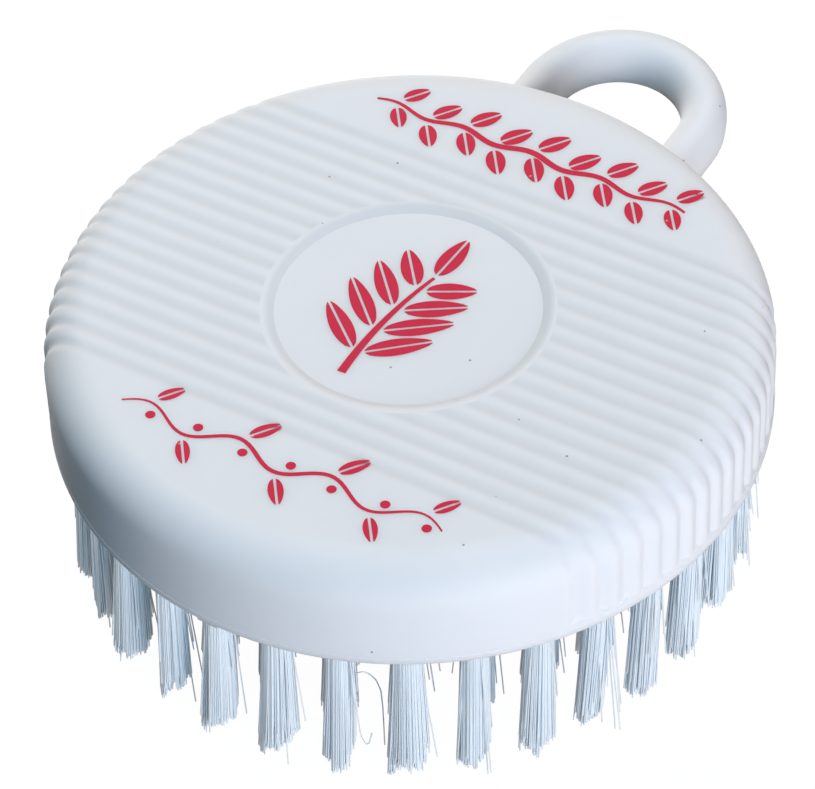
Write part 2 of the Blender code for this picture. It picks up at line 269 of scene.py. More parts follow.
class TuftSettings(bpy.types.PropertyGroup):
    """Sizes, places and finish of the bristle tufts"""

    radius: in_metres("Tuft radius", "Radius of a tuft where it leaves its hole", 0.00113)
    pitch: in_metres("Tuft pitch", "Distance between tufts along a ring", 0.0053)
    ring_spacing: in_metres("Ring spacing", "Distance between the tuft rings", 0.0054)
    edge_margin: in_metres("Edge margin", "From the rim to the middle of the outer ring", 0.0027)
    turn: in_radians("Turn", "Heading of each ring's first tuft from +X", radians(-60.6))
    hole_clearance: in_metres("Hole clearance", "Gap round a tuft in its hole", 0.00006)
    hole_depth: in_metres("Hole depth", "Depth of the hole that holds a tuft", 0.0050)
    hole_softening: in_metres("Hole softening", "Width of the chamfer round a hole", 0.0002)
    filaments: as_count("Filaments", "Filament ends in an outer tuft", 420)
    inner_filaments: as_count("Inner filaments", "Filament ends in an inner tuft", 260)
    filament_radius: in_metres("Filament radius", "Radius of one nylon filament", 0.000057)
    flare: in_metres("Flare", "How far a tuft spreads at its tips", 0.00034)
    lean: in_metres("Lean", "How far the tips are brushed to one side", 0.00042)
    lean_heading: in_radians("Lean heading", "Heading of the lean from +X", radians(212))
    sway: in_metres("Sway", "How far a tuft strays from the common lean", 0.00012)
    clump_shift: in_metres("Clump shift", "How far a tuft's clumps part at the tips", 0.00009)
    cut_slope: in_radians("Cut slope", "Slope of a tuft's trimmed end", radians(34))
    cut_heading: in_radians("Cut heading", "Side on which a tuft's end is cut shorter", radians(20))
    cut_scatter: in_metres("Cut scatter", "Unevenness of the clumps' cut ends", 0.0015)
    strays: as_count("Strays", "Most stray filaments in a tuft", 14, min=2)
    stray_reach: in_metres("Stray reach", "Furthest that a stray filament stands off", 0.0019)
    nylon_colour: as_colour("Nylon", "Colour of the filaments", (0.705, 0.80, 0.87))
    seed: as_count("Seed", "Seed of the filaments' scatter", 17, min=0)


class PrintSettings(bpy.types.PropertyGroup):
    """Sizes and colour of the printed leaf ornaments"""

    ink_thickness: in_metres("Ink thickness", "Height of the printed film", 0.00002)
    ink_colour: as_colour("Ink", "Colour of the printing ink", (0.61, 0.015, 0.055))
    sprig_length: in_metres("Sprig length", "Length of the sprig in the medallion", 0.0172)
    garland_place: in_metres("Garland place", "Distance of each garland from the middle", 0.0195)
    garland_length: in_metres("Garland length", "Length of each garland", 0.0285)


class StageSettings(bpy.types.PropertyGroup):
    """The camera"""

    camera_distance: in_metres("Camera distance", "From the aim point to the camera", 0.35715)
    camera_elevation: in_radians("Camera elevation", "Angle of the camera above the floor", 0.80755)
    camera_heading: in_radians("Camera heading", "Turn of the camera about the brush's axis", 0.55659)
    camera_roll: in_radians("Camera roll", "Roll of the camera about its own axis", -0.04183)
    aim_right: in_metres("Aim right", "Offset of the aim to the right in the picture", -0.00033)
    aim_up: in_metres("Aim up", "Offset of the aim upwards in the picture", -0.00051)
    lens: FloatProperty(name="Lens", description="Focal length in millimetres", default=196.99, unit="CAMERA")


def feed(socket, value):
    """Give a socket another node's output, a colour of three parts, or a plain value."""
    if isinstance(value, bpy.types.NodeSocket):
        socket.id_data.links.new(value, socket)
    elif socket.type == "RGBA":
        socket.default_value = (*value, 1)
    else:
        socket.default_value = value


def add_node(tree, kind, inputs, **choices):
    """A new node with its choices made and its inputs fed, each by its name or number."""
    node = tree.nodes.new(kind)
    for choice, value in choices.items():
        setattr(node, choice, value)
    for socket, value in inputs.items():
        feed(node.inputs[socket], value)
    return node


def new_material(name, base_colour, finish):
    """A Principled material with its plain values set, its shader's sockets and object coordinates."""
    material = bpy.data.materials.new(name)
    material.use_nodes = True
    material.diffuse_color = (*base_colour, 1)
    tree = material.node_tree
    sockets = tree.nodes["Principled BSDF"].inputs
    for socket, value in {"Base Color": base_colour, **finish}.items():
        feed(sockets[socket], value)
    return material, sockets, tree.nodes.new("ShaderNodeTexCoord").outputs["Object"]


# Each of the next functions adds its node to its first output's tree, and returns a new output.
# A place is the output of a node that gives coordinates.


def arithmetic(operation, first, *others):
    """A Math node. Each value after the first is a number or an output."""
    inputs = dict(enumerate((first, *others)))
    return add_node(first.id_data, "ShaderNodeMath", inputs, operation=operation).outputs[0]


def product(first, *others):
    """The product of several outputs."""
    for other in others:
        first = arithmetic("MULTIPLY", first, other)
    return first


def ranged(value, start, end, low=0, high=1):
    """Map a value between start and end onto a range from low to high."""
    inputs = {"Value": value, "From Min": start, "From Max": end, "To Min": low, "To Max": high}
    return add_node(value.id_data, "ShaderNodeMapRange", inputs).outputs["Result"]


def noise(place, scale, detail=2.0):
    """A noise texture's value at this scale, per metre."""
    inputs = {"Vector": place, "Scale": scale, "Detail": detail}
    return add_node(place.id_data, "ShaderNodeTexNoise", inputs).outputs["Fac"]


def mixed_colour(factor, first, second):
    """Mix two colours, each a plain colour or an output."""
    inputs = {"Factor": factor, COLOUR_A: first, COLOUR_B: second}
    return add_node(factor.id_data, "ShaderNodeMix", inputs, data_type="RGBA").outputs[2]


def bump(height, strength, distance):
    """A normal that is bumped by a height."""
    inputs = {"Height": height, "Strength": strength, "Distance": distance}
    return add_node(height.id_data, "ShaderNodeBump", inputs).outputs["Normal"]


def specks(place, scale, size, share):
    """Mask of small specks: 1 inside a speck. Only a share of the cells holds one."""
    cells = add_node(place.id_data, "ShaderNodeTexVoronoi", {"Vector": place, "Scale": scale})
    near = arithmetic("LESS_THAN", cells.outputs["Distance"], size)
    return product(near, arithmetic("LESS_THAN", cells.outputs["Color"], share))


def stretched(place, x, y, z):
    """A place with each axis scaled, so that a texture on it is drawn out along the small ones."""
    inputs = {0: place, 1: (x, y, z)}
    return add_node(place.id_data, "ShaderNodeVectorMath", inputs, operation="MULTIPLY").outputs[0]


def level_distance(place, x, y):
    """Distance of a place from an upright line through x and y."""
    inputs = {0: stretched(place, 1, 1, 0), 1: (x, y, 0)}
    return add_node(place.id_data, "ShaderNodeVectorMath", inputs, operation="DISTANCE").outputs["Value"]


def part_of(place, axis):
    """The X, Y or Z part of a place."""
    return add_node(place.id_data, "ShaderNodeSeparateXYZ", {"Vector": place}).outputs[axis]


def shaded(colour, brightness, lift=0):
    """A darker or lighter shade of a plain colour, no brighter than white."""
    return tuple(min(1, brightness * part + lift) for part in colour)


def recess_painted_shade_mask(place, medallion):
    """Mask of the painted shade on the recess wall: 1 at its foot, falling to 0 at its brow. The painted
    shade reaches further on one side.
    """
    brow = brow_radius(medallion)
    away = level_distance(place, *polar(medallion.painted_shade_offset, medallion.painted_shade_side))
    fall = ranged(away, (medallion.radius + brow) / 2, brow, 1, 0)
    on_top = arithmetic("GREATER_THAN", part_of(place, "Z"), TOP_Z - 2 * medallion.depth)
    return product(fall, on_top, arithmetic("GREATER_THAN", level_distance(place, 0, 0), medallion.radius))


def across_ribs(place, block):
    """How far along Y a place is from the middle of the ribbed band."""
    return arithmetic("SUBTRACT", part_of(place, "Y"), block.rib_shift)


def in_band(place, block):
    """1 inside the ribbed band and 0 elsewhere."""
    return arithmetic("LESS_THAN", arithmetic("ABSOLUTE", across_ribs(place, block)), block.rib_band / 2)


def valley_painted_shade_mask(place, block, medallion):
    """Mask of the painted shade in the rib valleys: 1 along the valleys and 0 along the crests, on the flat
    top outside the recess only.
    """
    turn = arithmetic("MULTIPLY", across_ribs(place, block), tau * (block.rib_count + 1) / block.rib_band)
    wave = arithmetic("MULTIPLY_ADD", arithmetic("COSINE", turn), -1 / 2, 1 / 2)
    on_top = ranged(part_of(place, "Z"), TOP_Z - block.edge_rounding / 4, TOP_Z - block.rib_depth)
    edge = brow_radius(medallion) + block.rib_fade / 2
    outside = arithmetic("GREATER_THAN", level_distance(place, 0, 0), edge)
    return product(wave, on_top, outside, in_band(place, block))


def white_plastic(block, medallion):
    """Semi-gloss moulded plastic: faint mottling, painted shade in the rib valleys on the top and on the
    recess wall, machining lines on the ribs, and a few specks of dust.
    """
    colour = tuple(block.plastic_colour)
    roughness = block.plastic_roughness
    finish = {"Roughness": roughness, "Specular IOR Level": block.plastic_specular, **PLASTIC_FINISH}
    material, sockets, place = new_material("moulded_white_plastic", colour, finish)
    skin = mixed_colour(noise(place, scale=180), shaded(colour, brightness=0.965), colour)
    # Painted shade in the rib valleys and on the recess wall. The specks are dust.
    for mask, brightness in (
        (valley_painted_shade_mask(place, block, medallion), block.valley_painted_shade),
        (recess_painted_shade_mask(place, medallion), block.recess_painted_shade),
        (specks(place, scale=300, size=0.032, share=0.8), DUST_SHADE),
    ):
        skin = mixed_colour(mask, skin, shaded(colour, brightness))
    feed(sockets["Base Color"], skin)
    low, high = roughness - ROUGHNESS_SPREAD, roughness + ROUGHNESS_SPREAD
    feed(sockets["Roughness"], ranged(noise(place, scale=700), 0, 1, low, high))
    lines = noise(stretched(place, x=0.02, y=1, z=0.02), scale=2400, detail=3.0)
    height = arithmetic("ADD", product(lines, in_band(place, block)), noise(place, scale=2600))
    feed(sockets["Normal"], bump(height, strength=0.2, distance=0.00002))
    return material


def printing_ink(settings):
    """Red ink: slightly uneven, with pinholes where it didn't take."""
    colour = tuple(settings.ink_colour)
    material, sockets, place = new_material("printing_ink", colour, INK_FINISH)
    uneven = noise(place, scale=900, detail=4.0)
    body = mixed_colour(uneven, colour, shaded(colour, brightness=1.12, lift=0.006))
    pinholes = specks(place, scale=1500, size=0.16, share=0.10)
    faded = tuple(part + PINHOLE_FADE * (BARE_SHADE - part) for part in colour)
    feed(sockets["Base Color"], mixed_colour(pinholes, body, faded))
    feed(sockets["Normal"], bump(uneven, strength=0.15, distance=0.00001))
    return material


def nylon(settings):
    """Clear-cast nylon: each filament a little lighter or darker, and painted shade that darkens it towards
    its root.
    """
    colour = tuple(settings.nylon_colour)
    material, sockets, place = new_material("nylon_filament", colour, NYLON_FINISH)
    shade = add_node(place.id_data, "ShaderNodeAttribute", {}, attribute_name="shade").outputs["Fac"]
    darker = shaded(colour, brightness=0.94)
    strand = mixed_colour(shade, darker, shaded(colour, brightness=1.03))
    # Painted shade: the filaments darken towards the root, under the block.
    painted_root_shade = ranged(part_of(place, "Z"), ROOT_PAINTED_SHADE_START * RIM_Z, RIM_Z)
    feed(sockets["Base Color"], mixed_colour(painted_root_shade, strand, darker))
    return material


def filled_mesh(name, bm):
    """A mesh from a bmesh, with its normals turned outwards."""
    bmesh.ops.recalc_face_normals(bm, faces=bm.faces)
    mesh = bpy.data.meshes.new(name)
    bm.to_mesh(mesh)
    bm.free()
    return mesh


def smooth_finish(mesh, material):
    """Shade a mesh smooth between its sharp edges, in one material."""
    mesh.shade_smooth()
    mesh.set_sharp_from_angle(angle=SHARP_ANGLE)
    mesh.materials.clear()
    mesh.materials.append(material)


def new_object(name, data):
    """Link an object with this data into the scene."""
    obj = bpy.data.objects.new(name, data)
    bpy.context.scene.collection.objects.link(obj)
    return obj


def mesh_object(name, bm, material):
    """A smooth-shaded object from a bmesh, with its sharp edges kept."""
    mesh = filled_mesh(name, bm)
    smooth_finish(mesh, material)
    return new_object(name, mesh)


def combined(obj, steps):
    """Join or cut helper meshes into obj with exact Booleans, and leave one plain mesh."""
    helpers = []
    for operation, bm in steps:
        helpers.append(new_object("helper", filled_mesh("helper", bm)))
        modifier = obj.modifiers.new(operation, "BOOLEAN")
        modifier.operation = operation
        modifier.solver = "EXACT"
        modifier.object = helpers[-1]
    graph = bpy.context.evaluated_depsgraph_get()
    mesh = bpy.data.meshes.new_from_object(obj.evaluated_get(graph))
    obj.modifiers.clear()
    old = obj.data
    smooth_finish(mesh, old.materials[0])
    obj.data = mesh
    bpy.data.meshes.remove(old)
    for helper in helpers:
        bpy.data.objects.remove(helper, do_unlink=True)


def add_rings(bm, rings):
    """Join closed rings of points with quads, and return the rings as vertices."""
    made = [[bm.verts.new(point) for point in ring] for ring in rings]
    for low, high in zip(made, made[1:]):
        count = len(low)
        for i in range(count):
            j = (i + 1) % count
            bm.faces.new((low[i], low[j], high[j], high[i]))
    return made


def add_capped_rings(bm, rings):
    """A solid from closed rings of points, with a flat face on its first and last ring."""
    made = add_rings(bm, rings)
    bm.faces.new(reversed(made[0]))
    bm.faces.new(made[-1])


def polar(radius, angle):
    """X and Y of the point at this radius and angle from +X."""
    return radius * cos(angle), radius * sin(angle)


def circle_points(radius, height, sides, centre=(0, 0)):
    """Points of a level circle round a centre."""
    spots = [polar(radius, tau * i / sides) for i in range(sides)]
    return [Vector((centre[0] + x, centre[1] + y, height)) for x, y in spots]


def quarter_turns(steps):
    """Angles from 0 to a right angle, in even steps."""
    return [pi / 2 * step / steps for step in range(steps + 1)]


def groove_depth(block, y, slope):
    """Depth of the ribs below their crests at this y. Valleys are narrower on the top than on the wall."""
    across = y - block.rib_shift
    if abs(across) >= block.rib_band / 2:
        return 0
    pitch = block.rib_band / (block.rib_count + 1)
    wave = (1 - cos(tau * across / pitch)) / 2
    narrowing = (TOP_VALLEY_SHARPNESS - WALL_VALLEY_SHARPNESS) * slope / (pi / 2)
    return block.rib_depth * wave ** (WALL_VALLEY_SHARPNESS + narrowing)


def block_levels(block):
    """Levels of the outer surface, bottom to top: (radius, height, slope of its normal, groove share)."""
    wall, lip_top = BLOCK_RADIUS - block.lip_step, RIM_Z + block.lip_height
    flat, soft = wall - block.edge_rounding, block.rim_softening
    inward, upward = [share * block.lip_step for share in LIP_CORNER]
    levels = []
    for turn in quarter_turns(RIM_STEPS):
        levels.append((BLOCK_RADIUS - soft * (1 - sin(turn)), RIM_Z + soft * (1 - cos(turn)), 0, 0))
    levels.append((BLOCK_RADIUS, lip_top, 0, 0))
    levels.append((BLOCK_RADIUS - inward, lip_top + upward, 0, 0))
    levels.append((wall, lip_top + block.lip_step, 0, 0))
    for turn in quarter_turns(RIB_FOOT_STEPS):
        height = RIM_Z + block.rib_foot_height + block.rib_foot_rounding * (1 - cos(turn))
        levels.append((wall, height, 0, sin(turn)))
    for turn in quarter_turns(ROUNDING_STEPS):
        height = TOP_Z - block.edge_rounding * (1 - sin(turn))
        share = 1 - (1 - block.rib_top_share) * sin(turn)
        levels.append((flat + block.edge_rounding * cos(turn), height, turn, share))
    levels.append((flat - 2 * block.lip_step, TOP_Z, pi / 2, block.rib_top_share))
    return levels


def end_arc(radius, height, y):
    """Points of a level arc from the right to the left side of a round end that begins at this y."""
    corner = asin(y / radius)
    angles = [corner + (pi - 2 * corner) * step / (2 * END_STEPS) for step in range(1, 2 * END_STEPS)]
    return [Vector((*polar(radius, angle), height)) for angle in angles]


def block_ring(block, radius, height, slope, groove_share):
    """One level of the outer surface. Its columns keep their y across the ribbed band."""
    rib_steps = (block.rib_count + 1) * RIB_STEPS
    right = []
    for step in range(rib_steps + 1):
        y = block.rib_shift + block.rib_band * (step / rib_steps - 1 / 2)
        depth = groove_share * groove_depth(block, y, slope)
        local_radius = radius - depth * cos(slope)
        x = sqrt(local_radius**2 - y**2)
        right.append(Vector((x, y, height - depth * sin(slope))))
    left = [Vector((-point.x, point.y, point.z)) for point in reversed(right)]
    far = end_arc(radius, height, right[-1].y)
    near = [Vector((point.x, -point.y, point.z)) for point in reversed(end_arc(radius, height, -right[0].y))]
    return right + far + left + near


def rib_fade(block, medallion, point):
    """Share of the rib depth at a point of the top: the ribs level off just outside the recess."""
    distance = hypot(point.x, point.y) - brow_radius(medallion)
    share = min(1, max(0, distance / block.rib_fade))
    return share * share * (3 - 2 * share)


def add_top(bm, block, medallion, ring):
    """Close the top inside its ring: a strip along each rib step, and a flat face at each end."""
    rib_steps = (block.rib_count + 1) * RIB_STEPS
    half = len(ring) // 2
    right = ring[: rib_steps + 1]
    left = ring[half : half + rib_steps + 1][::-1]
    rows = []
    for low, high in zip(left, right):
        row = [low]
        for column in range(1, TOP_COLUMNS):
            point = low.co.lerp(high.co, column / TOP_COLUMNS)
            point.z = TOP_Z - (TOP_Z - point.z) * rib_fade(block, medallion, point)
            row.append(bm.verts.new(point))
        rows.append(row + [high])
    for row, next_row in zip(rows, rows[1:]):
        for i in range(len(row) - 1):
            bm.faces.new((row[i], row[i + 1], next_row[i + 1], next_row[i]))
    bm.faces.new(ring[rib_steps : half + 1] + rows[-1][1:-1])
    bm.faces.new(ring[half + rib_steps :] + [ring[0]] + rows[0][1:-1][::-1])


def ring_radii(tufts):
    """Radii of the tuft rings, from the outer one in."""
    radii = [BLOCK_RADIUS - tufts.edge_margin]
    while radii[-1] > 3 / 2 * tufts.ring_spacing:
        radii.append(radii[-1] - tufts.ring_spacing)
    return radii


def ring_places(tufts, ring_radius):
    """Centres of a ring's tufts, an even number. The first tufts of all rings stand on one radius."""
    count = 2 * max(1, round(pi * ring_radius / tufts.pitch))
    angles = [tufts.turn + tau * i / count for i in range(count)]
    return [Vector((*polar(ring_radius, angle), 0)) for angle in angles]


def ring_edges(bm, ring):
    """Edges of a closed ring of vertices."""
    return [bm.edges.get((ring[i - 1], ring[i])) for i in range(len(ring))]


def add_underside(bm, tufts, rim):
    """The flat underside inside the rim, with a blind, chamfered hole for every tuft."""
    places = [Vector((0, 0, 0))]
    for radius in ring_radii(tufts):
        places += ring_places(tufts, radius)
    hole_radius = tufts.radius + tufts.hole_clearance
    mouth = (hole_radius + tufts.hole_softening, RIM_Z)
    neck = (hole_radius, RIM_Z + tufts.hole_softening)
    bottom = (hole_radius, RIM_Z + tufts.hole_depth)
    edges = ring_edges(bm, rim)
    for place in places:
        rings = add_rings(bm, [circle_points(*level, HOLE_SIDES, place) for level in (mouth, neck, bottom)])
        bm.faces.new(rings[-1])
        edges += ring_edges(bm, rings[0])
    bmesh.ops.triangle_fill(bm, use_beauty=True, use_dissolve=False, edges=edges, normal=(0, 0, -1))


def loop_stations(loop):
    """Places along the loop: (x, y, outward normal, section half-width)."""
    leg_x = (loop.hole_width + loop.leg_width) / 2
    leg_half, end_half = loop.leg_width / 2, loop.end_width / 2
    bend_y = BLOCK_RADIUS + LOOP_REACH - end_half - loop.bend_depth
    root_y = sqrt(BLOCK_RADIUS**2 - (leg_x + leg_half) ** 2) - loop.root_depth
    stations = [(leg_x, root_y, Vector((1, 0, 0)), leg_half)]
    for step in range(LOOP_STEPS + 1):
        turn = pi * step / LOOP_STEPS
        normal = Vector((cos(turn) / leg_x, sin(turn) / loop.bend_depth, 0)).normalized()
        half = leg_half + (end_half - leg_half) * sin(turn) ** 2
        stations.append((leg_x * cos(turn), bend_y + loop.bend_depth * sin(turn), normal, half))
    stations.append((-leg_x, root_y, Vector((-1, 0, 0)), leg_half))
    return stations


def loop_section(loop, half):
    """Section of the loop as (outward, height): flat below with softened edges, domed above."""
    soft = loop.edge_softening
    corner = LOOP_CORNER * soft
    dome = loop.height - loop.side_height
    points = [(half - soft, 0), (half - corner, corner)]
    for step in range(LOOP_SECTION_STEPS + 1):
        turn = pi * step / LOOP_SECTION_STEPS
        points.append((half * cos(turn), loop.side_height + dome * sin(turn)))
    points += [(corner - half, corner), (soft - half, 0)]
    return points


def loop_mesh(loop):
    """The hanging loop, swept along two legs and a bend, with its ends inside the wall."""
    bm = bmesh.new()
    rings = []
    for x, y, normal, half in loop_stations(loop):
        centre = Vector((x, y, RIM_Z + loop.lift))
        section = loop_section(loop, half)
        rings.append([centre + normal * out + Vector((0, 0, height)) for out, height in section])
    add_capped_rings(bm, rings)
    return bm


def gate_mesh():
    """The small stub that the moulding gate leaves under the rim."""
    bm = bmesh.new()
    outer, half = GATE_INSET - BLOCK_RADIUS, GATE_WIDTH / 2
    inner = outer + GATE_DEPTH
    corners = [(-half, outer), (half, outer), (half, inner), (-half, inner)]
    levels = (BLOCK_LOW.z, RIM_Z + GATE_HEIGHT)
    add_capped_rings(bm, [[Vector((*corner, z)) for corner in corners] for z in levels])
    bmesh.ops.rotate(bm, verts=bm.verts, cent=(0, 0, 0), matrix=Matrix.Rotation(GATE_TURN, 3, "Z"))
    return bm


def medallion_levels(medallion):
    """Radius and height of the recess wall, from the floor up. It eases off towards the top."""
    foot, change = medallion.foot_slope, medallion.brow_slope - medallion.foot_slope
    steps = MEDALLION_SLOPE_STEPS
    slopes = [foot + change * (step + 1 / 2) / steps for step in range(steps)]
    stride = medallion.depth / sum(tan(slope) for slope in slopes)
    radius, height = medallion.radius, TOP_Z - medallion.depth
    levels = [(radius, height)]
    for slope in slopes:
        radius += stride
        height += stride * tan(slope)
        levels.append((radius, height))
    return levels


def brow_radius(medallion):
    """Radius at which the recess wall meets the top."""
    return medallion_levels(medallion)[-1][0]


def medallion_cutter(medallion):
    """A shallow dish with a flat floor, which reaches a little above the top."""
    bm = bmesh.new()
    over = medallion.depth
    levels = medallion_levels(medallion)
    levels.append((levels[-1][0] + over / tan(medallion.brow_slope), TOP_Z + over))
    add_capped_rings(bm, [circle_points(radius, height, MEDALLION_SIDES) for radius, height in levels])
    return bm


class BRUSH_OT_block(bpy.types.Operator):
    """Make the moulded block with its ribs, medallion recess, hanging loop and tuft holes"""

    bl_idname = "brush.block"
    bl_label = "Block Moulding"

    def execute(self, context):
        scene = context.scene
        block, medallion = scene.brush_block, scene.brush_medallion
        bm = bmesh.new()
        rings = add_rings(bm, [block_ring(block, *level) for level in block_levels(block)])
        add_top(bm, block, medallion, rings[-1])
        add_underside(bm, scene.brush_tufts, rings[0])
        moulding = mesh_object("block_moulding", bm, white_plastic(block, medallion))
        added = [("UNION", loop_mesh(scene.brush_loop)), ("UNION", gate_mesh())]
        combined(moulding, [*added, ("DIFFERENCE", medallion_cutter(medallion))])
        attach(moulding, BODY)
        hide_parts("block")
        return {"FINISHED"}


def unit(vectors):
    """Vectors along the last axis, each brought to a length of 1."""
    return vectors / np.linalg.norm(vectors, axis=-1, keepdims=True)


def packed_spots(tufts, count, draw):
    """Places of the filaments inside a tuft: a disc packed by golden turns, loosened a little."""
    number = np.arange(count)
    angle = pi * (3 - sqrt(5)) * number
    distance = (tufts.radius - tufts.filament_radius) * np.sqrt((number + 1 / 2) / count)
    distance += draw.uniform(-SPOT_LOOSENESS, SPOT_LOOSENESS, count) * tufts.filament_radius
    return np.stack([distance * np.cos(angle), distance * np.sin(angle)], axis=1)


def tuft_lines(tufts, place, count, draw):
    """One tuft's filaments: centre lines by filament and step, and each one's shade and outward direction."""
    spots = packed_spots(tufts, count, draw)
    clump_spots = draw.uniform(-1, 1, (CLUMPS, 2)) * tufts.radius
    clump = ((spots[:, None] - clump_spots) ** 2).sum(axis=2).argmin(axis=1)
    lean = np.array(polar(tufts.lean * draw.uniform(*LEAN_RANGE), tufts.lean_heading))
    tips = lean + draw.normal(0, tufts.sway, 2)
    tips = tips + spots / tufts.radius * tufts.flare * draw.uniform(*FLARE_RANGE)
    clump_tips = draw.normal(0, tufts.clump_shift, (CLUMPS, 2))
    tips += clump_tips[clump] + draw.normal(0, TIP_SCATTER * tufts.filament_radius, (count, 2))
    slope = tan(tufts.cut_slope * draw.uniform(*CUT_RANGE))
    cut = spots @ np.array(polar(slope, tufts.cut_heading))
    clump_cut = draw.uniform(0, tufts.cut_scatter, CLUMPS)
    cut += clump_cut[clump] + draw.exponential(CUT_TAIL * tufts.cut_scatter, count)
    ends = cut - cut.min()
    root_z = RIM_Z + tufts.hole_softening + tufts.radius
    share = np.linspace(0, 1, FILAMENT_STEPS)
    course = np.tile(share**BEND_POWER, (count, 1))
    rim = np.flatnonzero(np.linalg.norm(spots, axis=1) > STRAY_BAND * tufts.radius)
    for stray in draw.choice(rim, draw.integers(tufts.strays // 2, tufts.strays + 1), replace=False):
        outward = unit(spots[stray])
        across = np.array([-outward[1], outward[0]]) * draw.normal(0, STRAY_TURN)
        start = draw.uniform(*STRAY_START)
        length = draw.uniform(*STRAY_LENGTH)
        reach = tufts.stray_reach * draw.uniform(*STRAY_REACH) * (length - start) if length > start else 0
        tips[stray] = (outward + across) * reach
        ends[stray] = root_z * (1 - length)
        course[stray] = np.maximum(0, share - start) / (1 - start)
    line = np.zeros((count, FILAMENT_STEPS, 3))
    line[:, :, :2] = np.array([place.x, place.y]) + spots[:, None] + tips[:, None] * course[:, :, None]
    line[:, :, 2] = root_z + (ends[:, None] - root_z) * share
    outside = np.zeros((count, 3))
    outside[:, :2] = unit(spots)
    return line, draw.uniform(0, 1, count), outside


def filament_tubes(lines, shades, outward, radius):
    """Vertices, faces, and a shade and a normal for each vertex of round filaments along these lines.

    The normals lean to the outside of the tuft, which evens out the filaments' shading.
    """
    count, steps, _ = lines.shape
    number = np.arange(count)[:, None]
    corner = np.arange(FILAMENT_SIDES)
    along = unit(np.gradient(lines, axis=1))
    side = unit(np.cross(along, LEVEL))
    other = np.cross(along, side)
    turns = corner * tau / FILAMENT_SIDES
    ring = side[:, :, None] * np.cos(turns)[:, None] + other[:, :, None] * np.sin(turns)[:, None]
    points = (lines[:, :, None] + radius * ring).reshape(-1, 3)
    base = (number * steps + np.arange(steps - 1)) * FILAMENT_SIDES
    here = base[:, :, None] + corner
    after = base[:, :, None] + (corner + 1) % FILAMENT_SIDES
    quads = np.stack([here, after, after + FILAMENT_SIDES, here + FILAMENT_SIDES], axis=-1).reshape(-1, 4)
    first = number * steps * FILAMENT_SIDES + corner
    last = first + (steps - 1) * FILAMENT_SIDES
    faces = quads.tolist() + first[:, ::-1].tolist() + last.tolist()
    normals = unit((1 - NORMAL_LEAN) * ring + NORMAL_LEAN * outward[:, None, None]).reshape(-1, 3)
    return points.tolist(), faces, np.repeat(shades, steps * FILAMENT_SIDES), normals


def curled_line(points):
    """A smooth line of many steps through a few points of a curled filament."""
    marks = np.array(points) / CURL_UNITS_PER_METRE
    smooth = []
    for step in np.linspace(0, len(marks) - 1, CURL_STEPS * len(marks)):
        weights = np.exp(-(((np.arange(len(marks)) - step) / CURL_BLUR) ** 2))
        smooth.append(weights @ marks / weights.sum())
    return np.array([smooth])


def tuft_object(node, strands, tufts, material):
    """One piece with filaments on these lines, which stands for its frame node."""
    name = f"{node}_filaments"
    points, faces, values, normals = [], [], [], []
    for strand in strands:
        made, made_faces, made_values, made_normals = filament_tubes(*strand, tufts.filament_radius)
        faces += [[corner + len(points) for corner in face] for face in made_faces]
        points += made
        values.append(made_values)
        normals.append(made_normals)
    mesh = bpy.data.meshes.new(name)
    mesh.from_pydata(points, [], faces)
    shade = mesh.attributes.new("shade", "FLOAT", "POINT")
    shade.data.foreach_set("value", np.concatenate(values).astype(np.float32))
    mesh.shade_smooth()
    mesh.normals_split_custom_set_from_vertices(np.concatenate(normals))
    mesh.materials.append(material)
    obj = new_object(name, mesh)
    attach(obj, BODY)
    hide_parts(node)


class BRUSH_OT_tufts(bpy.types.Operator):
    """Make the filaments of every bristle tuft"""

    bl_idname = "brush.tufts"
    bl_label = "Bristle Tufts"

    def execute(self, context):
        tufts = context.scene.brush_tufts
        draw = np.random.default_rng(tufts.seed)
        material = nylon(tufts)
        radii = ring_radii(tufts)
        groups = [(f"tuft_{i + 1:02d}", [place]) for i, place in enumerate(ring_places(tufts, radii[0]))]
        for i, radius in enumerate(radii[1:-1], start=2):
            groups.append((f"tuft_ring_{i}", ring_places(tufts, radius)))
        groups.append(("tuft_core", ring_places(tufts, radii[-1]) + [Vector((0, 0, 0))]))
        for node, places in groups:
            count = tufts.filaments if len(places) == 1 else tufts.inner_filaments
            strands = [tuft_lines(tufts, place, count, draw) for place in places]
            for curl in CURLS.get(node, ()):
                strands.append((curled_line(curl), np.array([CURL_SHADE]), np.zeros((1, 3))))
            tuft_object(node, strands, tufts, material)
        return {"FINISHED"}


def add_stroke(bm, centres, widths, levels):
    """A printed stroke: a strip of changing width along centres, between the ink's two levels."""
    lefts, rights = [], []
    count = len(centres)
    for i, (centre, width) in enumerate(zip(centres, widths)):
        along = (centres[min(i + 1, count - 1)] - centres[max(i - 1, 0)]).normalized()
        across = Vector((-along.y, along.x)) * width / 2
        lefts.append(centre + across)
        rights.append(centre - across)
    outline = rights + lefts[::-1]
    low, high = add_rings(bm, [[Vector((*point, z)) for point in outline] for z in levels])
    last = len(outline) - 1
    for i in range(count - 1):
        bm.faces.new((high[i], high[i + 1], high[last - 1 - i], high[last - i]))
        bm.faces.new((low[last - i], low[last - 1 - i], low[i + 1], low[i]))


def ink_shares():
    """Shares of the way along a printed curve, from 0 to 1."""
    return [i / INK_STEPS for i in range(INK_STEPS + 1)]


def curve_points(start, end, bulge):
    """Points from start to end along a parabola that bulges to the left of the way."""
    along = end - start
    across = Vector((-along.y, along.x))
    return [start + along * share + across * bulge * 4 * share * (1 - share) for share in ink_shares()]


